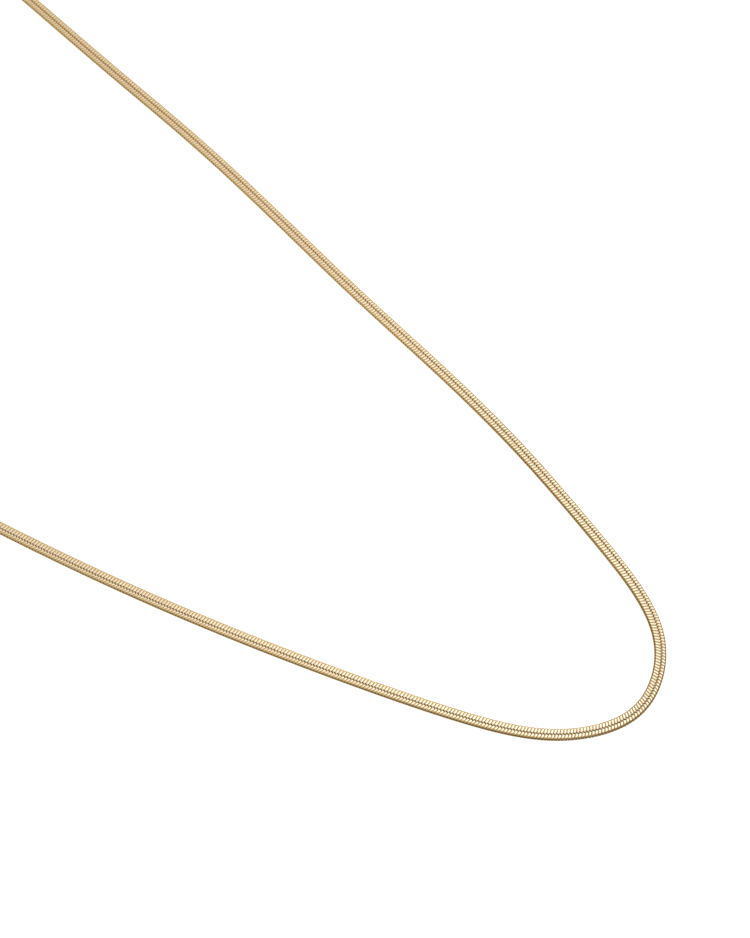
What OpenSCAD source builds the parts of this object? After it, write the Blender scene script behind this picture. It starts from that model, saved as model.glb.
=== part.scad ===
// Flat herringbone neck chain, closed by its clasp and lying on a surface.
// The origin is on the surface, under the middle of the loop. +Y points from the bend at
// the front to the clasp at the back, +X to the right of someone who looks that way from
// above, and +Z up. Sizes are in millimetres.

/* [Chain] */
// width across the flat of the chain
chain_w = 2.0; // [1.6:0.1:2.4]
// thickness of the chain
chain_t = 0.9; // [0.7:0.1:1.1]
// bluntness of the chain's section: 1 is an oval, and less is nearer a rectangle
bluntness = 0.7; // [0.5:0.05:1]

/* [End caps] */
// wall of the sleeve around a chain end
cap_wall = 0.24; // [0.2:0.02:0.4]
// gap between the sleeve and the chain
cap_gap = 0.06; // [0.04:0.01:0.1]
// length of chain that the sleeve covers
cap_depth = 3.0; // [2:0.5:4]
// thickness of the sleeve's closed end
cap_end = 1.2; // [1:0.1:1.3]
// radius of the loop, to the middle of its wire
loop_r = 0.95; // [0.9:0.01:1]
// thickness of the loop's wire
loop_wire = 0.5; // [0.4:0.05:0.55]

/* [Clasp] */
// radius of the spring ring, to the middle of its tube
ring_r = 2.3; // [2.2:0.05:2.4]
// thickness of the spring ring's tube
ring_tube = 0.9; // [0.8:0.05:0.9]
// radius of the tail eye, to the middle of its wire
eye_r = 0.75; // [0.7:0.05:0.8]
// thickness of the tail eye's wire
eye_wire = 0.6; // [0.5:0.05:0.6]
// height of the clasp's middle above the surface
clasp_z = 1.15; // [1.1:0.05:1.2]

/* [Hidden] */
gold = [0.83, 0.67, 0.40];
pale_gold = [0.87, 0.73, 0.48];

section_sides = 12;
// distance between the chain's rings, along it
ring_spacing = 7;
// height of the chain's underside inside a sleeve that lies on the surface
cap_lift = cap_wall + cap_gap;
// the back of the loop, where the end caps and the clasp lie in line
back_y = 103;
// where the chain ends on each side, and how far apart the route's points are there
end_x = 5.5;
end_step = 7;
// thumb knob of the spring ring
knob_r = 0.35;
knob_out = 0.5;
// how deep a loop runs into its sleeve
solder = 0.35;
// how far a cutting shape reaches past what it cuts
past = 1;
round_detail = 48;
wire_detail = 24;

// middle of the loop on the right end cap; the left one mirrors it
loop_x = end_x - cap_end - loop_r - loop_wire / 2 + solder;

// The middle line of the chain on the surface, from the right end cap round the bend to
// the left end cap. They are the control points of a smooth cubic spline, in x, y and
// the height of the chain's underside. The three at each end lie on a straight line, so
// the chain starts and stops at the middle one of them.
route = [
  [end_x - end_step, back_y, cap_lift],
  [end_x, back_y, cap_lift],
  [end_x + end_step, back_y, cap_lift],
  [29, 102.5, 0],
  [42.5, 97.5, 0],
  [50, 85, 0],
  [46.2, 66, 0],
  [41.8, 45, 0],
  [37.9, 23.5, 0],
  [32.5, 2, 0],
  [26.6, -19.6, 0],
  [22, -40.6, 0],
  [16.7, -60.1, 0],
  [11.3, -74.9, 0],
  [6.9, -86.5, 0],
  [3.4, -94.4, 0],
  [-1.4, -101.1, 0],
  [-8.5, -105, 0],
  [-16.5, -105.6, 0],
  [-24, -100.5, 0],
  [-29.8, -92.1, 0],
  [-33.9, -78, 0],
  [-38.2, -58.5, 0],
  [-42.2, -37, 0],
  [-45.3, -15, 0],
  [-47.4, 7.5, 0],
  [-48.7, 29, 0],
  [-48.6, 48, 0],
  [-46, 66, 0],
  [-40, 82, 0],
  [-31, 94, 0],
  [-20, 101.5, 0],
  [-end_x - end_step, back_y, cap_lift],
  [-end_x, back_y, cap_lift],
  [-end_x + end_step, back_y, cap_lift],
];
last_span = len(route) - 4;

// cubic spline through span i of the route, t from 0 to 1, and its direction there
function spline(i, t) =
  (pow(1 - t, 3) * route[i] + (3 * pow(t, 3) - 6 * pow(t, 2) + 4) * route[i + 1]
  + (3 * t + 3 * pow(t, 2) - 3 * pow(t, 3) + 1) * route[i + 2] + pow(t, 3) * route[i + 3]) / 6;
function heading(i, t) =
  (-pow(1 - t, 2) * route[i] + (3 * pow(t, 2) - 4 * t) * route[i + 1]
  + (1 + 2 * t - 3 * pow(t, 2)) * route[i + 2] + pow(t, 2) * route[i + 3]) / 2;

// rings in each span, at least two, and each ring as its place and its direction
function span_rings(i) = max(2, round(norm(route[i + 2] - route[i + 1]) / ring_spacing));
stations = [
  for (i = [0:last_span])
    for (k = [0:span_rings(i) - 1])
      [spline(i, k / span_rings(i)), heading(i, k / span_rings(i))],
  [spline(last_span, 1), heading(last_span, 1)]
];

// one corner of the section: blunted oval, as [across, up] from its middle
function blunt(c) = sign(c) * pow(abs(c) / cos(180 / section_sides), bluntness);
function corner(k) =
  let (a = 360 * (k + 0.5) / section_sides) [chain_w / 2 * blunt(cos(a)), chain_t / 2 * blunt(sin(a))];
section = [for (k = [0:section_sides - 1]) corner(k)];

// a corner of the section, carried to a station of the route
function level(v) = [v[0], v[1], 0] / norm([v[0], v[1]]);
function across(v) = cross([0, 0, 1], level(v));
function carried(station, c) =
  station[0] + c[0] * across(station[1]) + [0, 0, c[1] + chain_t / 2];

// triangles of one tube of n rings with m corners each
function at(i, k, m) = i * m + k % m;
function tube_faces(n, m) = [
  [for (k = [0:m - 1]) k],
  for (i = [0:n - 2])
    for (k = [0:m - 1])
      each [
        [at(i, k, m), at(i + 1, k, m), at(i, k + 1, m)],
        [at(i, k + 1, m), at(i + 1, k, m), at(i + 1, k + 1, m)],
      ],
  [for (k = [m - 1:-1:0]) at(n - 1, k, m)],
];

// the whole run of links, as one flattened tube
module chain() {
  color(gold)
    polyhedron(
      points = [for (s = stations) for (c = section) carried(s, c)],
      faces = tube_faces(len(stations), section_sides),
      convexity = 8
    );
}

// a round wire bent to a closed ring, flat around the origin
module wire_ring(r, wire) {
  rotate_extrude($fn = round_detail)
    translate([r, 0])
      circle(d = wire, $fn = wire_detail);
}

// the chain's section grown by a gap or a wall, as a bar that runs along +X
module section_bar(grow, length) {
  rotate([90, 0, 90])
    linear_extrude(length)
      offset(r = grow, $fn = wire_detail)
        polygon(section);
}

// sleeve with a pocket for the chain and an upright loop, as it lies on the +X side
module end_cap() {
  mid_z = cap_lift + chain_t / 2;
  loop_z = loop_r + loop_wire / 2;
  color(pale_gold) {
    difference() {
      translate([end_x - cap_end, back_y, mid_z])
        section_bar(cap_lift, cap_end + cap_depth);
      translate([end_x - cap_gap, back_y, mid_z])
        section_bar(cap_gap, cap_depth + past);
    }
    translate([loop_x, back_y, loop_z])
      rotate([90, 0, 0])
        wire_ring(loop_r, loop_wire);
  }
}

module end_cap_right() {
  end_cap();
}

module end_cap_left() {
  mirror([1, 0, 0])
    end_cap();
}

// spring ring with its tail eye and thumb knob, lying level through both loops
module clasp() {
  ring_x = loop_x - ring_r;
  eye_x = -loop_x + loop_r;
  color(gold)
    translate([0, back_y, clasp_z]) {
      translate([ring_x, 0, 0]) {
        wire_ring(ring_r, ring_tube);
        translate([0, ring_r, 0])
          rotate([-90, 0, 0])
            cylinder(r = knob_r, h = ring_tube / 2 + knob_out, $fn = wire_detail);
      }
      translate([eye_x, 0, 0])
        wire_ring(eye_r, eye_wire);
    }
}

chain();
end_cap_right();
end_cap_left();
clasp();
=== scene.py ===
import math

import bpy
import numpy as np
from bpy.props import FloatProperty, FloatVectorProperty, PointerProperty
from mathutils import Matrix, Vector


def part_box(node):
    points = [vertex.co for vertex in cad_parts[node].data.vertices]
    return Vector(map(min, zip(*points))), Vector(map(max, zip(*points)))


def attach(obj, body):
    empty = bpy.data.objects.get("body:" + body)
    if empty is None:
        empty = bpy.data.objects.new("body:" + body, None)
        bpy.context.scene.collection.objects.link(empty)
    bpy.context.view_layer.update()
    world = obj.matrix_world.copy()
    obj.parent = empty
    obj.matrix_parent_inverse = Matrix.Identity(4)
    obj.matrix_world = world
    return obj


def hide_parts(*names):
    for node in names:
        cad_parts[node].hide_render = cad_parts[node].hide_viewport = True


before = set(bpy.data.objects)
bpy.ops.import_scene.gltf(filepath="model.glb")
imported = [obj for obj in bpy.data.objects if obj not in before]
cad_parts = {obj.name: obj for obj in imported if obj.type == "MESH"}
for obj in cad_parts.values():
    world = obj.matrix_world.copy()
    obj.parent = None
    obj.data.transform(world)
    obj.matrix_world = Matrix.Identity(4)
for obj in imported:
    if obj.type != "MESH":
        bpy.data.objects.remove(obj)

bl_info = {
    "name": "Herringbone Neck Chain",
    "version": (1, 0, 0),
    "blender": (4, 5, 0),
    "location": "View3D > Sidebar > Chain",
    "description": "Makes a fine flat herringbone neck chain, link by link, on a pale studio floor",
    "category": "Add Mesh",
}

MM = 0.001
TURN = 2 * math.pi
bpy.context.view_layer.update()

# The picture's longer side, which the camera's sensor spans, and the nearest and farthest
# places that the camera sees, in metres.
PHOTO_HEIGHT_PX = 938
SENSOR_MM = 36.0
NEAREST, FARTHEST = 0.01, 50.0

# The middle line of the chain, in millimetres: x, y and the height of the underside. They are
# the control points of a cubic spline from the right end cap round the bend to the left one.
ROUTE = [
    (-1.5, 103, 0.3), (5.5, 103, 0.3), (12.5, 103, 0.3), (29, 102.5, 0), (42.5, 97.5, 0),
    (50, 85, 0), (46.2, 66, 0), (41.8, 45, 0), (37.9, 23.5, 0), (32.5, 2, 0), (26.6, -19.6, 0),
    (22, -40.6, 0), (16.7, -60.1, 0), (11.3, -74.9, 0), (6.9, -86.5, 0), (3.4, -94.4, 0),
    (-1.4, -101.1, 0), (-8.5, -105, 0), (-16.5, -105.6, 0), (-24, -100.5, 0), (-29.8, -92.1, 0),
    (-33.9, -78, 0), (-38.2, -58.5, 0), (-42.2, -37, 0), (-45.3, -15, 0), (-47.4, 7.5, 0),
    (-48.7, 29, 0), (-48.6, 48, 0), (-46, 66, 0), (-40, 82, 0), (-31, 94, 0), (-20, 101.5, 0),
    (-12.5, 103, 0.3), (-5.5, 103, 0.3), (1.5, 103, 0.3),
]

# The route's direction at a place is taken over this many millimetres before and after it.
SIDE_STEP = 0.3

# How far the links and their inner legs stop short of the route's ends, in millimetres.
LINK_MARGIN = 1.2
CORE_MARGIN = 0.8

# The links' inner legs together: half their section, in widths and thicknesses of the chain,
# and how many rings and corners it has.
CORE_ACROSS, CORE_UP = 0.43, 0.27
CORE_ROWS, CORE_SIDES = 620, 12

# One link's path round the chain's section, from the low inner edge over the top and back
# underneath. across: -1 at the loop's inner edge, 1 at its outer edge. up: -1 underneath, 1 on
# top. full: how far the link fills its pitch there. slit: 1 at the bottom of the spine, where
# shade is painted into the colour too. tip: 1 on the end of each bar beside the spine,
# where a highlight is painted into the colour. PATH_SPINE: the middle of this path's spine, across,
# before LAY moves it.
LINK_PATH = [
    # across, up, full, slit, tip
    (-1.00, -0.50, 0.86, 0.0, 0.0),
    (-1.00, 0.60, 0.84, 0.0, 0.0),
    (-0.93, 0.88, 0.92, 0.0, 0.0),
    (-0.82, 0.97, 0.97, 0.0, 0.0),
    (-0.72, 0.97, 0.97, 0.0, 0.0),
    (-0.38, 0.955, 0.98, 0.0, 0.2),
    (-0.20, 1.00, 0.98, 0.0, 1.0),
    (-0.12, 1.00, 0.98, 0.0, 1.0),
    (-0.05, 0.98, 0.97, 0.6, 1.0),
    (0.01, 0.94, 0.97, 1.0, 0.8),
    (0.13, 0.94, 0.97, 1.0, 0.8),
    (0.19, 0.98, 0.97, 0.6, 1.0),
    (0.30, 1.00, 0.98, 0.0, 0.9),
    (0.72, 1.00, 0.97, 0.0, 0.0),
    (0.82, 0.985, 0.97, 0.0, 0.0),
    (0.93, 0.88, 0.92, 0.0, 0.0),
    (1.00, 0.60, 0.84, 0.0, 0.0),
    (1.00, -0.50, 0.86, 0.0, 0.0),
    (0.90, -1.00, 0.96, 0.0, 0.0),
    (0.10, -0.97, 0.97, 0.6, 0.0),
    (-0.90, -1.00, 0.96, 0.0, 0.0),
]
PATH_SPINE = 0.07

# Across its own width a link is a rounded bar: its edges are sunk by the whole crown, and the
# two sides of its flat top by this part of it.
TOP_SINK = 0.05

# The slits of the spine gape by at most WIDE_GAPE, in pitches. Where they are shut, the spine
# has SHUT_WIDTH of its full width, the links' paths draw together as far as SPINE_REACH to each
# side of it, in half widths of the chain, and it lies deeper by SHUT_NOTCH, in half
# thicknesses.
WIDE_GAPE = 0.54
SHUT_WIDTH = 0.5
SPINE_REACH = 0.3
SHUT_NOTCH = 0.16

# The painted shade down the two edges of the chain begins this far out and fades in over this
# distance, both in half widths of the chain.
FLANK_START = 0.72
FLANK_FADE = 0.15

# A link's outline is a box with rounded corners, whose normal has the fifth powers of its two
# numbers. Underneath, the bars lean half as much as on top.
OUTLINE_POWER = 5
LEAN_BELOW = 0.5

# How the two rows of bars lie at places along the chain, and how deep their painted shade is
# there. place: millimetres from the right end. inner and outer: how far a bar reaches ahead over
# its row. back: how far a link steps back between the rows. spine: where the rows meet, in
# millimetres outwards from the middle line. gape: how wide the slits of the spine are. flat:
# half the flat top of a bar. All but place and spine are in pitches. dark: how far the painted
# shade on the flanks, the grooves and the slits deepens towards its darkest colours, from 0 to 1.
LAY = [
    # place, inner, outer, back, spine, gape, flat, dark
    (0, 0.62, 0.04, 0.56, -0.05, 0.08, 0.36, 0.10),
    (95, 0.62, 0.04, 0.56, -0.05, 0.08, 0.36, 0.02),
    (129, 0.53, 0.14, 0.50, 0.03, 0.16, 0.36, 0.02),
    (169, 0.45, 0.16, 0.44, 0.06, 0.40, 0.38, 0.05),
    (204, 0.47, 0.28, 0.42, 0.04, 0.54, 0.38, 0.60),
    (228, 0.53, 0.28, 0.46, 0.23, 0.54, 0.37, 0.50),
    (248, 0.70, 0.60, 0.62, 0.20, 0.54, 0.31, 1.00),
    (269, 0.45, 0.45, 0.62, 0.06, 0.54, 0.34, 0.55),
    (291, 0.54, 0.64, 0.60, 0.13, 0.54, 0.38, 0.27),
    (320, 0.50, 0.76, 0.58, 0.18, 0.54, 0.39, 0.08),
    (351, 0.48, 0.82, 0.58, 0.24, 0.54, 0.39, 0.10),
    (498, 0.48, 0.82, 0.58, 0.24, 0.54, 0.39, 0.15),
]

# The chain's own outline inside an end cap: half the width times cos a to this power, by half
# the thickness times sin a to this power.
BLUNTNESS = 0.7

# An end cap's sleeve, from its closed end over the outside to the mouth and back inside to the
# bottom of its pocket. along: millimetres from the closed end. grow: millimetres outside the
# chain's own outline. recess: 1 where no polish reaches, which is duller and darkened with
# painted shade. SLEEVE_LENGTH: from the closed end to the mouth, in millimetres.
SLEEVE = [
    # along, grow, recess
    (0.00, 0.10, 0.1),
    (0.03, 0.20, 0.0),
    (0.12, 0.27, 0.0),
    (0.26, 0.29, 0.0),
    (3.44, 0.29, 0.0),
    (3.50, 0.24, 1.0),
    (3.58, 0.24, 1.0),
    (3.64, 0.29, 0.0),
    (3.74, 0.30, 0.0),
    (4.04, 0.30, 0.0),
    (4.14, 0.28, 0.0),
    (4.20, 0.20, 0.0),
    (4.19, 0.11, 0.2),
    (4.10, 0.06, 0.7),
    (3.60, 0.06, 1.0),
    (1.14, 0.06, 1.0),
]
SLEEVE_LENGTH = 4.2

# The thumb knob of the spring ring, from inside its tube outwards. out: millimetres from the
# middle of the tube. radius: in millimetres too. recess: as on the sleeve.
KNOB = [
    # out, radius, recess
    (0.30, 0.20, 1.0),
    (0.50, 0.20, 1.0),
    (0.58, 0.22, 0.8),
    (0.64, 0.30, 0.3),
    (0.71, 0.35, 0.0),
    (0.86, 0.35, 0.0),
    (0.92, 0.31, 0.0),
    (0.95, 0.22, 0.0),
]

# Where on the spring ring its thin bolt shows and where the knob's slot runs, in degrees from
# the right end cap round to the back, and over how many degrees each begins and ends. The knob
# stands at a quarter turn. No polish reaches the bolt's ends over BOLT_RECESS degrees.
BOLT_FROM, BOLT_TO, BOLT_FADE = 28, 76, 2
BOLT_RECESS = 3
SLOT_FROM, SLOT_TO, SLOT_FADE = 97, 134, 3

# How far round the tube the slot reaches on each side of its outermost line, in degrees, and
# over how many of them its edge slopes. Its depth is in parts of the tube's half thickness.
SLOT_REACH, SLOT_SLOPE = 20, 8
SLOT_DEPTH = 0.3

# How far the solder of a wire ring spreads from its middle, in radians of the ring, and its
# recess there.
SOLDER_SPREAD = 0.42
SOLDER_RECESS = 0.5

# The axes that a shape is carried or bent along, the third of them its own direction.
ALONG_X = np.array([(0, 1, 0), (0, 0, 1), (1, 0, 0)])
ALONG_Y = np.array([(0, 0, 1), (1, 0, 0), (0, 1, 0)])
UPRIGHT = np.array([(1, 0, 0), (0, 0, 1), (0, -1, 0)])
LEVEL = np.array([(1, 0, 0), (0, 1, 0), (0, 0, 1)])

# How fine the noise of the finishes is, in cells per metre, and how many times it is refined.
# The clouds change the depth of the chain's colour, and the specks its roughness. The inner
# legs have a grain, and the end caps and the clasp have wear and fine pits.
CLOUD_CELLS, CLOUD_DETAIL = 90, 2
SPECK_CELLS, SPECK_DETAIL = 2600, 3
GRAIN_CELLS, GRAIN_DETAIL = 1500, 2
WEAR_CELLS, WEAR_DETAIL = 900, 4
PIT_CELLS, PIT_DETAIL = 4200, 3

# How much of the colour's depth comes from the clouds and from a recess, where it is painted
# shade, and how much each thing adds to the roughness.
CLOUD_DEPTH, RECESS_DEPTH = 0.2, 0.8
SPECK_ROUGH, SLIT_ROUGH = 0.12, 0.12
WEAR_ROUGH, RECESS_ROUGH = 0.14, 0.2

# How strongly the specks and the pits tilt the surface, and how high 1 of them is, in
# millimetres.
SPECK_BUMP, PIT_BUMP = 0.15, 0.12
BUMP_HEIGHT = 0.02

# Light from all round. place: 0 opposite the bright direction, 1 along it. cool: how much of
# the tint is the cool one.
WORLD = [
    # place, level, cool
    (0.00, 0.25, 0.0),
    (0.06, 0.29, 0.0),
    (0.14, 0.60, 0.0),
    (0.24, 0.36, 0.6),
    (0.36, 0.52, 1.0),
    (0.46, 0.74, 1.0),
    (0.66, 0.74, 0.6),
    (0.75, 0.45, 0.0),
    (0.87, 0.60, 0.0),
    (1.00, 0.60, 0.0),
]
WARM_TINT = np.array((1.0, 0.91, 0.78))
COOL_TINT = np.array((1.0, 1.01, 0.96))

# Half the side of the floor, in metres, and how far it lies under the chain, in millimetres.
FLOOR_HALF = 10.0
FLOOR_DROP = 0.02

# The soft boxes, all at one height over the floor and turned to the middle of the picture.
# ahead, right: metres from there. wide and deep: their size. level: how bright a mirror shows
# them.
LAMP_HEIGHT = 0.75
LAMP_COLOUR = (0.94, 1.0, 1.12)
LAMPS = [
    # name, ahead, right, wide, deep, level
    ("near_box", 0.30, 0.09, 0.50, 0.32, 0.5),
    ("bend_box", 0.34, 0.17, 0.12, 0.14, 3.0),
    ("top_box", -0.06, 0.05, 0.90, 0.20, 0.4),
    ("back_box", 1.15, 0.10, 0.80, 0.30, 0.3),
]


class ChainSizes(bpy.types.PropertyGroup):
    """Sizes of the chain and of its links"""
    width: FloatProperty(
        name="Width", description="Width across the flat of the chain",
        default=2.0 * MM, unit="LENGTH")
    thickness: FloatProperty(
        name="Thickness", description="Thickness of the chain",
        default=0.9 * MM, unit="LENGTH")
    pitch: FloatProperty(
        name="Pitch", description="Distance from one link to the next",
        default=0.56 * MM, unit="LENGTH")
    crown: FloatProperty(
        name="Crown", description="Height of a bar's crest over the groove beside it",
        default=0.07 * MM, unit="LENGTH")
    spine_half: FloatProperty(
        name="Spine half width", description="Half the width of the step back between the rows",
        default=0.12 * MM, unit="LENGTH")


class FindingSizes(bpy.types.PropertyGroup):
    """Sizes of the end caps and of the clasp that their boxes don't give"""
    loop_wire: FloatProperty(
        name="Loop wire", description="Thickness of the wire of the end caps' loops",
        default=0.5 * MM, unit="LENGTH")
    eye_radius: FloatProperty(
        name="Eye radius", description="Radius of the clasp's tail eye, to the middle of its wire",
        default=0.75 * MM, unit="LENGTH")
    eye_wire: FloatProperty(
        name="Eye wire", description="Thickness of the tail eye's wire",
        default=0.6 * MM, unit="LENGTH")
    bolt: FloatProperty(
        name="Bolt", description="Thickness of the spring ring's bolt, in parts of its tube",
        default=0.76, min=0.5, max=1.0, subtype="FACTOR")
    solder: FloatProperty(
        name="Solder", description="How much thicker a wire is where it is soldered",
        default=0.14 * MM, unit="LENGTH")


class GoldFinish(bpy.types.PropertyGroup):
    """Colours and roughness of the gold on the links, the end caps and the clasp, with the painted
    shade and the painted highlights among the colours
    """
    crest: FloatVectorProperty(
        name="Crest", description="Colour of the polished crests",
        default=(0.95, 0.80, 0.56), subtype="COLOR", size=3)
    # Painted shade: a deeper colour towards the grooves between the links.
    groove: FloatVectorProperty(
        name="Groove", description="Colour down between the links",
        default=(0.80, 0.56, 0.26), subtype="COLOR", size=3)
    # Painted highlight: a lighter colour on the ends of the bars beside the spine.
    tip: FloatVectorProperty(
        name="Tip", description="Colour of the bright ends of the bars beside the spine",
        default=(1.0, 0.90, 0.70), subtype="COLOR", size=3)
    # Painted shade: a deep colour in the slits of the spine, also used in the findings' recesses.
    slit: FloatVectorProperty(
        name="Slit", description="Colour in the slits of the spine",
        default=(0.66, 0.33, 0.02), subtype="COLOR", size=3)
    # Painted shade: a deeper colour down the two edges of the chain.
    flank: FloatVectorProperty(
        name="Flank", description="Colour down the two edges of the chain",
        default=(0.97, 0.73, 0.37), subtype="COLOR", size=3)
    # Painted shade: deeper colours of the grooves, the slits and the edges, where dark is high.
    groove_deep_shade: FloatVectorProperty(
        name="Dark groove", description="Colour between the links where the chain bends",
        default=(0.66, 0.50, 0.24), subtype="COLOR", size=3)
    slit_deep_shade: FloatVectorProperty(
        name="Dark slit", description="Colour in the slits where the chain bends",
        default=(0.30, 0.14, 0.01), subtype="COLOR", size=3)
    flank_deep_shade: FloatVectorProperty(
        name="Dark flank", description="Colour of the two edges where the chain bends",
        default=(0.34, 0.19, 0.04), subtype="COLOR", size=3)
    glint: FloatVectorProperty(
        name="Glint", description="Tint of the chain's glints at a grazing angle",
        default=(1.0, 0.8, 0.5), subtype="COLOR", size=3)
    # Painted shade: the inner legs are given a dark colour, as the shade in the spine's gaps.
    inner: FloatVectorProperty(
        name="Inner", description="Colour of the links' inner legs",
        default=(0.42, 0.20, 0.01), subtype="COLOR", size=3)
    inner_shade_grain: FloatVectorProperty(
        name="Light inner", description="Colour of the lighter grains of the inner legs",
        default=(0.58, 0.29, 0.02), subtype="COLOR", size=3)
    worn: FloatVectorProperty(
        name="Worn", description="Colour of the end caps and the clasp where they are worn",
        default=(0.92, 0.68, 0.36), subtype="COLOR", size=3)
    bright: FloatVectorProperty(
        name="Bright", description="Colour of the end caps and the clasp where they are new",
        default=(0.99, 0.79, 0.47), subtype="COLOR", size=3)
    roughness: FloatProperty(
        name="Roughness", description="Roughness of the polished crests",
        default=0.24, min=0.0, max=1.0, subtype="FACTOR")
    inner_roughness: FloatProperty(
        name="Inner roughness", description="Roughness of the links' inner legs",
        default=0.45, min=0.0, max=1.0, subtype="FACTOR")
    findings_roughness: FloatProperty(
        name="Findings roughness", description="Roughness of the end caps and the clasp",
        default=0.13, min=0.0, max=1.0, subtype="FACTOR")


class StageLook(bpy.types.PropertyGroup):
    """The floor's look and the camera's place"""
    floor: FloatVectorProperty(
        name="Floor", description="Colour of the floor",
        default=(0.86, 0.86, 0.86), subtype="COLOR", size=3)
    glow: FloatProperty(
        name="Glow", description="Light that comes through the floor from below",
        default=0.7, min=0.0)
    tilt: FloatProperty(
        name="Tilt", description="Angle of the camera off the vertical",
        default=math.radians(30), subtype="ANGLE", unit="ROTATION")
    heading: FloatProperty(
        name="Heading", description="Direction that the camera looks along the floor, from +X",
        default=math.radians(34), subtype="ANGLE", unit="ROTATION")
    distance: FloatProperty(
        name="Distance", description="Distance from the camera to the floor that it looks at",
        default=0.696, unit="LENGTH")
    lens_px: FloatProperty(
        name="Focal length", description="Focal length in pixels of the photograph",
        default=4000.0)
    target: FloatVectorProperty(
        name="Target", description="Place on the floor at the middle of the picture",
        default=(-0.001, -0.042, 0.0), subtype="XYZ", unit="LENGTH", size=3)


def link_sizes():
    """The sizes of the chain that this scene keeps."""
    return bpy.context.scene.chain_sizes


def finding_sizes():
    """The sizes of the end caps and the clasp that this scene keeps."""
    return bpy.context.scene.chain_findings


def gold():
    """The colours and roughness of the gold that this scene keeps."""
    return bpy.context.scene.chain_gold


def stage_look():
    """The look of the floor and the camera's place that this scene keeps."""
    return bpy.context.scene.chain_stage


class Value:
    """A node socket that takes part in Python arithmetic, each step adding a Math node."""

    def __init__(self, tree, socket):
        self.tree = tree
        self.socket = socket

    def math(self, operation, *others, swapped=False, clamp=False):
        """This socket and the others through one Math node, in turned order if swapped."""
        node = self.tree.nodes.new("ShaderNodeMath")
        node.operation = operation
        node.use_clamp = clamp
        terms = [self, *others]
        if swapped:
            terms.reverse()
        for slot, term in zip(node.inputs, terms):
            if isinstance(term, Value):
                self.tree.links.new(term.socket, slot)
            else:
                slot.default_value = term
        return Value(self.tree, node.outputs[0])

    def __add__(self, other):
        return self.math("ADD", other)

    def __radd__(self, other):
        return self.math("ADD", other)

    def __sub__(self, other):
        return self.math("SUBTRACT", other)

    def __rsub__(self, other):
        return self.math("SUBTRACT", other, swapped=True)

    def __mul__(self, other):
        return self.math("MULTIPLY", other)

    def __rmul__(self, other):
        return self.math("MULTIPLY", other)

    def __pow__(self, other):
        return self.math("POWER", other)

    def __abs__(self):
        return self.math("ABSOLUTE")

    def clamped(self):
        """The value kept between 0 and 1."""
        return self.math("ADD", 0.0, clamp=True)


class Nodes:
    """Adds nodes to one tree, whose sockets then take values or links."""

    def __init__(self, tree):
        self.tree = tree

    def node(self, kind, settings=None, values=None, output=0):
        """Adds a node: its settings first, then the values or links of its sockets."""
        node = self.tree.nodes.new(kind)
        for key, setting in (settings or {}).items():
            if key == "stops":
                self.set_stops(node.color_ramp, setting)
            else:
                setattr(node, key, setting)
        for key, value in (values or {}).items():
            self.feed(node.inputs[key], value)
        return Value(self.tree, node.outputs[output])

    def set_stops(self, ramp, stops):
        """Gives a colour ramp its stops, each a place and a colour."""
        while len(ramp.elements) < len(stops):
            ramp.elements.new(0.5)
        for element, (place, colour) in zip(ramp.elements, stops):
            element.position = place
            element.color = colour

    def feed(self, slot, value):
        """Links a value into a socket, or sets the socket to a plain number or colour."""
        if isinstance(value, Value):
            self.tree.links.new(value.socket, slot)
        else:
            slot.default_value = value

    def attribute(self, name):
        """A number that the mesh keeps at its vertices."""
        return self.node("ShaderNodeAttribute", {"attribute_name": name}, output="Fac")

    def noise(self, cells, detail):
        """Noise on the object's own coordinates, in cells per metre."""
        place = self.node("ShaderNodeTexCoord", output="Object")
        return self.node(
            "ShaderNodeTexNoise", values={"Vector": place, "Scale": cells, "Detail": detail})

    def mixed(self, factor, low, high):
        """Colour from low to high by the factor."""
        return self.node(
            "ShaderNodeMix", {"data_type": "RGBA"}, {0: factor, 6: low, 7: high}, output=2)

    def bump(self, height, strength):
        """A normal that tilts with the height, which is BUMP_HEIGHT for each 1 of it."""
        return self.node(
            "ShaderNodeBump",
            values={"Strength": strength, "Distance": BUMP_HEIGHT * MM, "Height": height})


class Finish(Nodes):
    """A material built node by node on one Principled shader."""

    def __init__(self, name):
        self.material = bpy.data.materials.new(name)
        self.material.use_nodes = True
        super().__init__(self.material.node_tree)
        self.shader = self.tree.nodes["Principled BSDF"]

    def surface(self, **values):
        """Feeds the shader's sockets, named with _ for a space, and gives the material."""
        for key, value in values.items():
            self.feed(self.shader.inputs[key.replace("_", " ")], value)
        return self.material


def opaque(colour):
    """The colour with full alpha."""
    return (*colour, 1.0)


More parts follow.
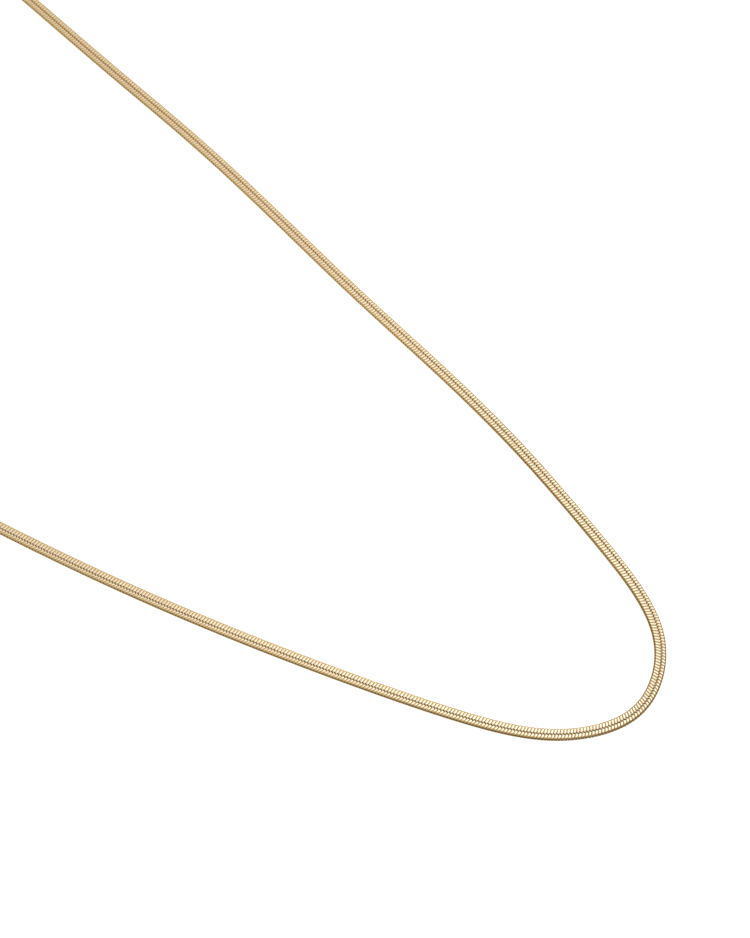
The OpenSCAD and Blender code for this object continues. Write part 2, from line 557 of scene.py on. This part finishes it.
def chain_gold():
    """Polished gold plate, with painted shade and painted highlights. The vertex attribute "bar"
    runs from -1 to 1 over a bar's width, and painted shade deepens the colour with its square,
    towards the grooves. "tip" is 1 on the bars' ends beside the spine, where a highlight is
    painted,
    "slit" in the spine and "flank" down the edges, where shade is painted. The painted
    shade of all but the crests deepens by "dark"."""
    finish = Finish("chain_gold")
    look = gold()
    bar = finish.attribute("bar")
    tip = finish.attribute("tip")
    slit = finish.attribute("slit")
    flank = finish.attribute("flank")
    # dark: how far the painted shade of the grooves, the slits and the edges deepens here.
    dark = finish.attribute("dark")
    cloud = finish.noise(CLOUD_CELLS, CLOUD_DETAIL)
    speck = finish.noise(SPECK_CELLS, SPECK_DETAIL)
    # Painted shade towards the grooves by the square of bar, with the clouds' random tone on top.
    groove_shade_and_cloud = (abs(bar) ** 2.0 + (cloud - 0.5) * CLOUD_DEPTH).clamped()
    # Painted highlight: the crests turn lighter on the bar ends beside the spine.
    crest = finish.mixed(tip, opaque(look.crest), opaque(look.tip))
    # Painted shade in the grooves, deeper where dark is high.
    between = finish.mixed(dark, opaque(look.groove), opaque(look.groove_deep_shade))
    # Painted shade down the two edges, deeper still where dark is high.
    side = finish.mixed(dark, opaque(look.flank), opaque(look.flank_deep_shade))
    # Painted shade in the slits, deeper where dark is high.
    slit_shade = finish.mixed(dark, opaque(look.slit), opaque(look.slit_deep_shade))
    # The crests take the painted shade towards the grooves.
    top = finish.mixed(groove_shade_and_cloud, crest, between)
    # The edges take their painted shade by the flank mask.
    with_flank_shade = finish.mixed(flank, top, side)
    # The slits take their painted shade.
    colour = finish.mixed(slit, with_flank_shade, slit_shade)
    rough = (look.roughness + (speck - 0.5) * SPECK_ROUGH + slit * SLIT_ROUGH).clamped()
    return finish.surface(
        Base_Color=colour, Metallic=1.0, Roughness=rough, Normal=finish.bump(speck, SPECK_BUMP),
        Specular_Tint=opaque(look.glint))


def shaded_inner_gold():
    """The inner legs of the links, seen only through the gaps of the spine, painted dark as their
    shade, with a random grain.
    """
    finish = Finish("shaded_inner_gold")
    look = gold()
    grain = finish.noise(GRAIN_CELLS, GRAIN_DETAIL)
    # Painted shade: a dark colour, made lighter and deeper at random by the grain.
    colour = finish.mixed(grain, opaque(look.inner), opaque(look.inner_shade_grain))
    return finish.surface(Base_Color=colour, Metallic=1.0, Roughness=look.inner_roughness)


def findings_gold():
    """Polished gold plate of the end caps and the clasp, with faint wear and fine pits. The
    vertex attribute "recess" is 1 where no polish reaches: the gold is duller there, and
    painted shade deepens its colour there."""
    finish = Finish("findings_gold")
    look = gold()
    recess = finish.attribute("recess")
    wear = finish.noise(WEAR_CELLS, WEAR_DETAIL)
    pit = finish.noise(PIT_CELLS, PIT_DETAIL)
    polished = finish.mixed(wear, opaque(look.worn), opaque(look.bright))
    # Painted shade: the colour deepens towards the slits' colour where recess is high.
    colour = finish.mixed((recess * RECESS_DEPTH).clamped(), polished, opaque(look.slit))
    rough = (look.findings_roughness + wear * WEAR_ROUGH + recess * RECESS_ROUGH).clamped()
    return finish.surface(
        Base_Color=colour, Metallic=1.0, Roughness=rough, Normal=finish.bump(pit, PIT_BUMP))


class Course:
    """The middle line of the chain, as arrays over its length. A cubic spline passes its
    control points at weights (1-t)^3, 3t^3-6t^2+4, 1+3t+3t^2-3t^3 and t^3, all over six."""

    def __init__(self, per_span=160):
        points = np.array(ROUTE) * MM
        t = np.linspace(0.0, 1.0, per_span, endpoint=False)[:, None]
        weights = np.stack([
            (1 - t) ** 3,
            3 * t ** 3 - 6 * t ** 2 + 4,
            1 + 3 * t + 3 * t ** 2 - 3 * t ** 3,
            t ** 3,
        ]) / 6
        spans = np.stack([points[k:len(points) - 3 + k] for k in range(4)])
        line = np.einsum("ktc,ksx->stx", weights, spans).reshape(-1, 3)
        self.line = np.vstack([line, (points[-3] + 4 * points[-2] + points[-1]) / 6])
        steps = np.linalg.norm(np.diff(self.line, axis=0), axis=1)
        self.place = np.concatenate([[0.0], np.cumsum(steps)])
        self.length = self.place[-1]

    def at(self, place):
        """Middle points at these distances along the chain."""
        return np.stack([np.interp(place, self.place, self.line[:, k]) for k in range(3)], -1)

    def side(self, place):
        """Level unit vectors to the loop's outer side at these distances."""
        step = SIDE_STEP * MM
        ahead = self.at(np.minimum(place + step, self.length))
        behind = self.at(np.maximum(place - step, 0.0))
        along = ahead - behind
        along[..., 2] = 0.0
        along /= np.linalg.norm(along, axis=-1, keepdims=True)
        return np.stack([-along[..., 1], along[..., 0], np.zeros_like(along[..., 0])], -1)

    def carry(self, place, across, up):
        """Points that lie this far along, across to the outer side and up from the underside."""
        base = self.at(place)
        point = base + across[..., None] * self.side(place)
        point[..., 2] += up
        return point


def polygon(sides):
    """Corners of a regular polygon around the origin, 1 from it. The first lies half a step off
    the first axis."""
    angle = (np.arange(sides) + 0.5) * TURN / sides
    return np.stack([np.cos(angle), np.sin(angle)], -1)


def ring_quads(around, rows, closed_rows=True):
    """Quads between neighbouring rows of closed rings with that many corners each."""
    row = np.arange(rows if closed_rows else rows - 1)[:, None]
    col = np.arange(around)[None, :]
    after_row = (row + 1) % rows
    after_col = (col + 1) % around
    quads = np.stack([
        row * around + col,
        row * around + after_col,
        after_row * around + after_col,
        after_row * around + col,
    ], -1)
    return quads.reshape(-1, 4)


def tube_quads(around, rows):
    """Quads of a tube whose first and last rings are filled by strips. Each strip joins two
    corners of the ring to the two that lie across from them."""
    corner = np.arange(around // 2 - 1)
    across = around - 1 - corner
    first = np.stack([corner + 1, corner, across, across - 1], -1)
    last = first[:, ::-1] + (rows - 1) * around
    return np.vstack([ring_quads(around, rows, closed_rows=False), first, last])


def make_mesh(name, points, quads, material):
    """An object at the origin with one mesh of quads, each four indices into the points."""
    mesh = bpy.data.meshes.new(name)
    mesh.vertices.add(len(points))
    mesh.vertices.foreach_set("co", np.asarray(points, np.float32).ravel())
    mesh.loops.add(quads.size)
    mesh.loops.foreach_set("vertex_index", quads.astype(np.int32).ravel())
    mesh.polygons.add(len(quads))
    mesh.polygons.foreach_set("loop_start", np.arange(0, quads.size, 4, dtype=np.int32))
    mesh.update(calc_edges=True)
    mesh.validate()
    mesh.materials.append(material)
    piece = bpy.data.objects.new(name, mesh)
    bpy.context.scene.collection.objects.link(piece)
    return piece


def shade(piece, points, quads, hidden):
    """Smooth shading by the mean normal round each point, weighted by area: half the cross
    product of a face's diagonals. The hidden faces are left out of the means and stay flat."""
    mesh = piece.data
    mesh.polygons.foreach_set("use_smooth", np.ones(len(quads), bool))
    corner = points[quads]
    area = np.cross(corner[:, 2] - corner[:, 0], corner[:, 3] - corner[:, 1]) / 2
    total = np.zeros_like(points)
    seen = ~hidden
    for k in range(4):
        np.add.at(total, quads[seen, k], area[seen])
    normal = total[quads]
    normal[hidden] = area[hidden, None]
    normal /= np.linalg.norm(normal, axis=-1, keepdims=True)
    mesh.normals_split_custom_set(normal.reshape(-1, 3).tolist())


def point_values(piece, name, values):
    """Keeps one number for each vertex, in the vertices' order, for the material to read."""
    layer = piece.data.attributes.new(name, "FLOAT", "POINT")
    layer.data.foreach_set("value", np.asarray(values, np.float32).ravel())


def place_on(piece, slot, *nodes):
    """Ties a piece to the part's body and hides the CAD nodes it replaces. The material slot that
    it is given is not used.
    """
    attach(piece, "root")
    if nodes:
        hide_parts(*nodes)


def moved_to_spine(across, middle, narrow):
    """The places across of each link, in its own row: those of LINK_PATH, shifted with its
    spine, less so towards the edges, and drawn together round the spine where it is narrow."""
    side = across + (1 - np.abs(across)) * (middle - PATH_SPINE)
    nearness = np.clip(1 - np.abs(side - middle) / SPINE_REACH, 0, 1)
    return side - (side - middle) * (1 - narrow) * nearness


def reach_ahead(side, middle, half_step, inner, outer, back):
    """How far ahead each link reaches at its places across, in pitches: evenly further over
    each row of bars and evenly back over the spine, with its two ends as far from its middle."""
    inner_edge, outer_edge = middle - half_step, middle + half_step
    over_inner = inner * np.clip((side + 1) / (inner_edge + 1), 0, 1)
    over_outer = outer * np.clip((side - outer_edge) / (1 - outer_edge), 0, 1)
    over_spine = -back * np.clip((side - inner_edge) / (2 * half_step), 0, 1)
    return over_inner + over_outer + over_spine - (inner + outer - back) / 2


def make_links(course, sizes):
    """All the links as one mesh. Link j sits at j pitches along the chain. Going round it, the
    link follows LINK_PATH and reaches ahead as LAY says, which makes its two bars lean. Along
    the chain it is a bar whose edges are sunk along the outline's normal, and which fills less
    of its pitch at the sides and the spine."""
    across, up, full, slit, tip = np.array(LINK_PATH).T
    count = int((course.length - LINK_MARGIN * MM) / sizes.pitch)
    first = (course.length - (count - 1) * sizes.pitch) / 2
    place = first + sizes.pitch * np.arange(count)
    lay = np.array(LAY)
    inner, outer, back, spine, gape, flat, dark = [
        np.interp(place / MM, lay[:, 0], column)[:, None] for column in lay[:, 1:].T]

    half_width, half_thick = sizes.width / 2, sizes.thickness / 2
    shut = 1 - gape / WIDE_GAPE
    narrow = SHUT_WIDTH + (1 - SHUT_WIDTH) * gape / WIDE_GAPE
    half_step = sizes.spine_half / half_width * narrow
    middle = spine * MM / half_width
    side = moved_to_spine(across, middle, narrow)
    ahead = reach_ahead(side, middle, half_step, inner, outer, back)
    ahead = ahead * (1 - LEAN_BELOW * np.clip(-up, 0, 1))

    half = np.full_like(flat, 0.5)
    bar_along = np.stack([-half, -flat, flat, half], -1)
    bar_sink = np.array([1.0, TOP_SINK, TOP_SINK, 1.0])
    filled = full - gape * slit
    along = place[:, None, None] + sizes.pitch * (ahead[..., None] + bar_along * filled[..., None])
    outward = np.stack([across, up], -1) ** OUTLINE_POWER
    outward /= np.linalg.norm(outward, axis=1, keepdims=True)
    sink = sizes.crown * bar_sink
    out_across = side[..., None] * half_width - outward[:, :1] * sink
    notch = SHUT_NOTCH * slit * np.sign(up) * shut
    out_up = (up - notch)[..., None] * half_thick - outward[:, 1:] * sink
    points = course.carry(
        along, np.broadcast_to(out_across, along.shape), out_up + half_thick).reshape(-1, 3)

    around, bars = len(LINK_PATH), len(bar_sink)
    quads = ring_quads(bars, around)
    quads = (quads[None] + (np.arange(count) * around * bars)[:, None, None]).reshape(-1, 4)
    piece = make_mesh("herringbone_links", points, quads, chain_gold())
    # The inside of a link is closed by the faces between its two sunk edges.
    inside = np.isin(quads % bars, (0, bars - 1)).all(1)
    shade(piece, points, quads, inside)

    # Where the painted shade covers the two edges of the chain.
    flank = np.clip((np.abs(across) - FLANK_START) / FLANK_FADE, 0, 1)
    # The slit values steer the painted shade in the slits, and the tip values a painted highlight.
    attributes = {
        "bar": 2 * bar_along,
        "slit": slit[:, None] * (shut[..., None] + (1 - shut[..., None]) * bar_sink),
        "tip": tip[:, None],
        "flank": flank[:, None],
        "dark": dark[..., None],
    }
    for name, values in attributes.items():
        point_values(piece, name, np.broadcast_to(values, along.shape))
    return piece


def make_core(course, sizes):
    """The links' inner legs as one flattened tube, dark with painted shade: an oval carried along
    the chain.
    """
    half_across, half_up = CORE_ACROSS * sizes.width, CORE_UP * sizes.thickness
    margin = CORE_MARGIN * MM
    place = np.linspace(margin, course.length - margin, CORE_ROWS)[:, None]
    corners = polygon(CORE_SIDES)
    shape = (CORE_ROWS, CORE_SIDES)
    points = course.carry(
        np.broadcast_to(place, shape),
        np.broadcast_to(half_across * corners[:, 0], shape),
        np.broadcast_to(sizes.thickness / 2 + half_up * corners[:, 1], shape)).reshape(-1, 3)
    quads = tube_quads(CORE_SIDES, CORE_ROWS)
    piece = make_mesh("link_cores", points, quads, shaded_inner_gold())
    shade(piece, points, quads, np.zeros(len(quads), bool))
    return piece


class CHAIN_OT_links(bpy.types.Operator):
    """Make the run of interlocked links and their inner legs"""
    bl_idname = "chain.links"
    bl_label = "Links"

    def execute(self, context):
        course = Course()
        sizes = link_sizes()
        links = make_links(course, sizes)
        place_on(links, "chain_gold", "chain")
        core = make_core(course, sizes)
        place_on(core, "chain_gold")
        return {"FINISHED"}


def carried(outlines, along, centre, axes):
    """Outlines carried along the third axis: each corner lies at the centre, plus its own two
    numbers times the first two axes, plus its outline's distance times the third."""
    local = np.concatenate([outlines, np.broadcast_to(along, outlines.shape[:2])[..., None]], -1)
    rows, around = outlines.shape[:2]
    return centre + (local @ axes).reshape(-1, 3), tube_quads(around, rows)


def wire_ring(half, recess, radius, centre, axes):
    """A wire bent to a ring in the plane of the first two axes: out by radius + h cos v at the
    turn u, and h sin v along the third axis. h is half the wire's thickness, with a row for
    each u and a column for each v, as its recess has too."""
    rows, sides = half.shape
    u = (np.arange(rows) * TURN / rows)[:, None]
    v = (np.arange(sides) * TURN / sides)[None, :]
    out = radius + half * np.cos(v)
    local = np.stack([out * np.cos(u), out * np.sin(u), half * np.sin(v)], -1)
    points = centre + (local @ axes).reshape(-1, 3)
    return points, ring_quads(sides, rows)[:, ::-1], recess.ravel()


def soldered_wire(thickness, solder, rows=64, sides=20):
    """Half thickness of a wire that swells by a bell curve of the turn u about u = 0, and its
    recess, which is deepest in the solder."""
    u = np.arange(rows) * TURN / rows
    bell = np.exp(-(np.minimum(u, TURN - u) / SOLDER_SPREAD) ** 2)
    bell = np.repeat(bell[:, None], sides, 1)
    return thickness / 2 + solder * bell, bell * SOLDER_RECESS


def window(value, low, high, fade):
    """1 between low and high, falling evenly to 0 over the fade on both sides."""
    return np.clip((value - low) / fade, 0, 1) * np.clip((high - value) / fade, 0, 1)


def make_finding(node, parts, material):
    """One finding from its parts, each its points, its quads and its points' recess."""
    starts = np.cumsum([0] + [len(points) for points, quads, recess in parts])
    points = np.vstack([part[0] for part in parts])
    quads = np.vstack([part[1] + start for part, start in zip(parts, starts)])
    piece = make_mesh("gold_" + node, points, quads, material)
    shade(piece, points, quads, np.zeros(len(quads), bool))
    point_values(piece, "recess", np.concatenate([part[2] for part in parts]))
    place_on(piece, "findings_gold", node)
    return piece


def sleeve_part(chain, centre, around=48):
    """The sleeve of the right end cap, from the centre of its closed end: the chain's blunted
    outline, grown along its normal as SLEEVE says. The normal has the powers 2 - bluntness and
    the two half sizes swapped."""
    along, grow, recess = np.array(SLEEVE).T
    turn = polygon(around)
    halves = np.array([chain.width, chain.thickness]) / 2
    section = halves * np.sign(turn) * np.abs(turn) ** BLUNTNESS
    normal = halves[::-1] * np.sign(turn) * np.abs(turn) ** (2 - BLUNTNESS)
    normal /= np.linalg.norm(normal, axis=1, keepdims=True)
    outlines = section + grow[:, None, None] * MM * normal
    points, quads = carried(outlines, along[:, None] * MM, centre, ALONG_X)
    return points, quads, np.repeat(recess, around)


def make_end_cap(node, mirrored, material):
    """A sleeve with an upright loop soldered into its closed end, placed by the right end cap's
    box. The left one is its mirror image, with its faces turned round."""
    chain, sizes = link_sizes(), finding_sizes()
    low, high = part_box("end_cap_right")
    middle = (low.y + high.y) / 2
    wall = (high.y - low.y - chain.width) / 2
    closed_end = np.array([high.x - SLEEVE_LENGTH * MM, middle, wall + chain.thickness / 2])
    sleeve = sleeve_part(chain, closed_end)
    radius = (high.z - low.z - sizes.loop_wire) / 2
    centre = np.array([low.x + high.z / 2, middle, high.z / 2])
    wire = soldered_wire(sizes.loop_wire, sizes.solder)
    loop = wire_ring(*wire, radius, centre, UPRIGHT)
    parts = [sleeve, loop]
    if mirrored:
        parts = [
            (points * (-1, 1, 1), quads[:, ::-1], recess) for points, quads, recess in parts]
    return make_finding(node, parts, material)


def slotted_tube(thickness, bolt, rows=180, sides=32):
    """Half thickness of the spring ring's tube: thinner over the bolt, and dented along its
    outer side by the knob's slot. Its recess is 1 in the slot and at the bolt's ends."""
    u = (np.arange(rows) * 360 / rows)[:, None]
    v = (np.arange(sides) * 360 / sides)[None, :]
    outermost = np.clip((SLOT_REACH - np.minimum(v, 360 - v)) / SLOT_SLOPE, 0, 1)
    slot = window(u, SLOT_FROM, SLOT_TO, SLOT_FADE) * outermost
    thin = window(u, BOLT_FROM, BOLT_TO, BOLT_FADE)
    half = thickness / 2 * (1 - (1 - bolt) * thin - SLOT_DEPTH * slot)
    polished = window(u, BOLT_FROM + BOLT_RECESS, BOLT_TO - BOLT_RECESS, BOLT_RECESS)
    return half, np.maximum(slot, thin * (1 - polished))


def knob_part(foot, around=24):
    """The thumb knob: circles carried along Y from its foot, as KNOB says."""
    out, radius, recess = np.array(KNOB).T
    outlines = radius[:, None, None] * MM * polygon(around)
    points, quads = carried(outlines, out[:, None] * MM, foot, ALONG_Y)
    return points, quads, np.repeat(recess, around)


def make_clasp(material):
    """A spring ring with its bolt, its thumb knob and its soldered tail eye, placed by the
    clasp's box, whose low side the ring touches and whose high side the knob does."""
    sizes = finding_sizes()
    low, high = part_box("clasp")
    cap_low, cap_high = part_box("end_cap_right")
    back = (cap_low.y + cap_high.y) / 2
    thickness = high.z - low.z
    radius = back - low.y - thickness / 2
    centre = np.array([high.x - thickness / 2 - radius, back, (low.z + high.z) / 2])
    tube = slotted_tube(thickness, sizes.bolt)
    ring = wire_ring(*tube, radius, centre, LEVEL)
    knob = knob_part(centre + (0, radius, 0))
    eye_x = low.x + sizes.eye_radius + sizes.eye_wire / 2
    eye_centre = np.array([eye_x, centre[1], centre[2]])
    wire = soldered_wire(sizes.eye_wire, sizes.solder / 2)
    eye = wire_ring(*wire, sizes.eye_radius, eye_centre, LEVEL)
    return make_finding("clasp", [ring, knob, eye], material)


class CHAIN_OT_findings(bpy.types.Operator):
    """Make the two end caps and the clasp"""
    bl_idname = "chain.findings"
    bl_label = "End caps and clasp"

    def execute(self, context):
        material = findings_gold()
        make_end_cap("end_cap_right", False, material)
        make_end_cap("end_cap_left", True, material)
        make_clasp(material)
        return {"FINISHED"}


def soft_box(name, place, aim, size, level):
    """A rectangular light turned to its aim, with the power level times area times pi."""
    light = bpy.data.lights.new(name, "AREA")
    light.shape = "RECTANGLE"
    light.size, light.size_y = size
    light.energy = level * size[0] * size[1] * math.pi
    light.color = LAMP_COLOUR
    lamp = bpy.data.objects.new(name, light)
    lamp.location = place
    direction = Vector(aim) - Vector(place)
    lamp.rotation_euler = direction.to_track_quat("-Z", "Y").to_euler()
    lamp.visible_camera = False
    bpy.context.scene.collection.objects.link(lamp)
    return lamp


def studio_world(bright):
    """Light from all round, by the angle from one bright direction: a ramp of half the dot
    product of the two directions, plus a half."""
    world = bpy.data.worlds.new("studio")
    world.use_nodes = True
    sky = Nodes(world.node_tree)
    stops = []
    for place, level, cool in WORLD:
        tint = WARM_TINT + cool * (COOL_TINT - WARM_TINT)
        stops.append((place, opaque(level * tint)))
    direction = sky.node("ShaderNodeTexCoord", output="Generated")
    likeness = sky.node(
        "ShaderNodeVectorMath", {"operation": "DOT_PRODUCT"}, {0: direction, 1: bright},
        output="Value")
    colour = sky.node("ShaderNodeValToRGB", {"stops": stops}, {0: likeness * 0.5 + 0.5})
    sky.feed(sky.tree.nodes["Background"].inputs["Color"], colour)
    return world


def make_floor(look):
    """A wide square just under the chain, which glows a little, as a lit table does."""
    square = np.array([(-1, -1, 0), (1, -1, 0), (1, 1, 0), (-1, 1, 0)])
    corners = square * FLOOR_HALF - (0, 0, FLOOR_DROP * MM)
    paper = Finish("pale_paper")
    material = paper.surface(
        Base_Color=opaque(look.floor), Roughness=0.9,
        Emission_Color=(1.0, 1.0, 1.0, 1.0), Emission_Strength=look.glow)
    floor = make_mesh("floor", corners, np.array([[0, 1, 2, 3]]), material)
    floor.visible_glossy = False
    return floor


def make_camera(look, ahead, right):
    """The camera at the photograph's angle: tilt off the vertical, at the distance from the
    target, with its focal length in pixels turned into the lens that the sensor needs."""
    target = Vector(look.target)
    back = Vector((0, 0, 1)) * math.cos(look.tilt) - ahead * math.sin(look.tilt)
    upward = back.cross(right)
    camera = bpy.data.cameras.new("camera")
    camera.sensor_width = SENSOR_MM
    camera.lens = look.lens_px / PHOTO_HEIGHT_PX * SENSOR_MM
    camera.clip_start = NEAREST
    camera.clip_end = FARTHEST
    eye = bpy.data.objects.new("camera", camera)
    turn = Matrix((right, upward, back)).transposed().to_4x4()
    eye.matrix_world = Matrix.Translation(target + back * look.distance) @ turn
    bpy.context.scene.collection.objects.link(eye)
    return eye


class CHAIN_OT_stage(bpy.types.Operator):
    """Lay the pale floor, set the soft studio light and the camera"""
    bl_idname = "chain.stage"
    bl_label = "Floor, light and camera"

    def execute(self, context):
        look = stage_look()
        scene = context.scene
        ahead = Vector((math.cos(look.heading), math.sin(look.heading), 0.0))
        right = Vector((math.sin(look.heading), -math.cos(look.heading), 0.0))
        make_floor(look)
        scene.camera = make_camera(look, ahead, right)
        mirrored = ahead * math.sin(look.tilt) + Vector((0, 0, 1)) * math.cos(look.tilt)
        scene.world = studio_world(mirrored)
        target = Vector(look.target)
        for name, forward, aside, wide, deep, level in LAMPS:
            place = target + ahead * forward + right * aside + Vector((0, 0, LAMP_HEIGHT))
            soft_box(name, place, target, (wide, deep), level)
        scene.view_settings.view_transform = "Standard"
        scene.view_settings.look = "None"
        return {"FINISHED"}


class CHAIN_PT_panel(bpy.types.Panel):
    """The operators in order, with the sizes and colours that they read"""
    bl_idname = "CHAIN_PT_panel"
    bl_label = "Herringbone Chain"
    bl_space_type = "VIEW_3D"
    bl_region_type = "UI"
    bl_category = "Chain"

    def draw(self, context):
        column = self.layout.column()
        for operator in OPERATORS:
            column.operator(operator.bl_idname)
        for group in (link_sizes(), finding_sizes(), gold(), stage_look()):
            box = self.layout.box()
            for name in group.bl_rna.properties.keys():
                if name not in ("rna_type", "name"):
                    box.prop(group, name)


OPERATORS = [CHAIN_OT_links, CHAIN_OT_findings, CHAIN_OT_stage]
CLASSES = [ChainSizes, FindingSizes, GoldFinish, StageLook, *OPERATORS, CHAIN_PT_panel]


def register():
    """Registers the classes and gives each scene its sizes, colours and look."""
    for cls in CLASSES:
        bpy.utils.register_class(cls)
    bpy.types.Scene.chain_sizes = PointerProperty(type=ChainSizes)
    bpy.types.Scene.chain_findings = PointerProperty(type=FindingSizes)
    bpy.types.Scene.chain_gold = PointerProperty(type=GoldFinish)
    bpy.types.Scene.chain_stage = PointerProperty(type=StageLook)


def unregister():
    """Takes back what register did, in the opposite order."""
    del bpy.types.Scene.chain_stage
    del bpy.types.Scene.chain_gold
    del bpy.types.Scene.chain_findings
    del bpy.types.Scene.chain_sizes
    for cls in reversed(CLASSES):
        bpy.utils.unregister_class(cls)


def main():
    """Makes the chain and its stage."""
    register()
    bpy.ops.chain.links()
    bpy.ops.chain.findings()
    bpy.ops.chain.stage()


if __name__ == "__main__":
    main()
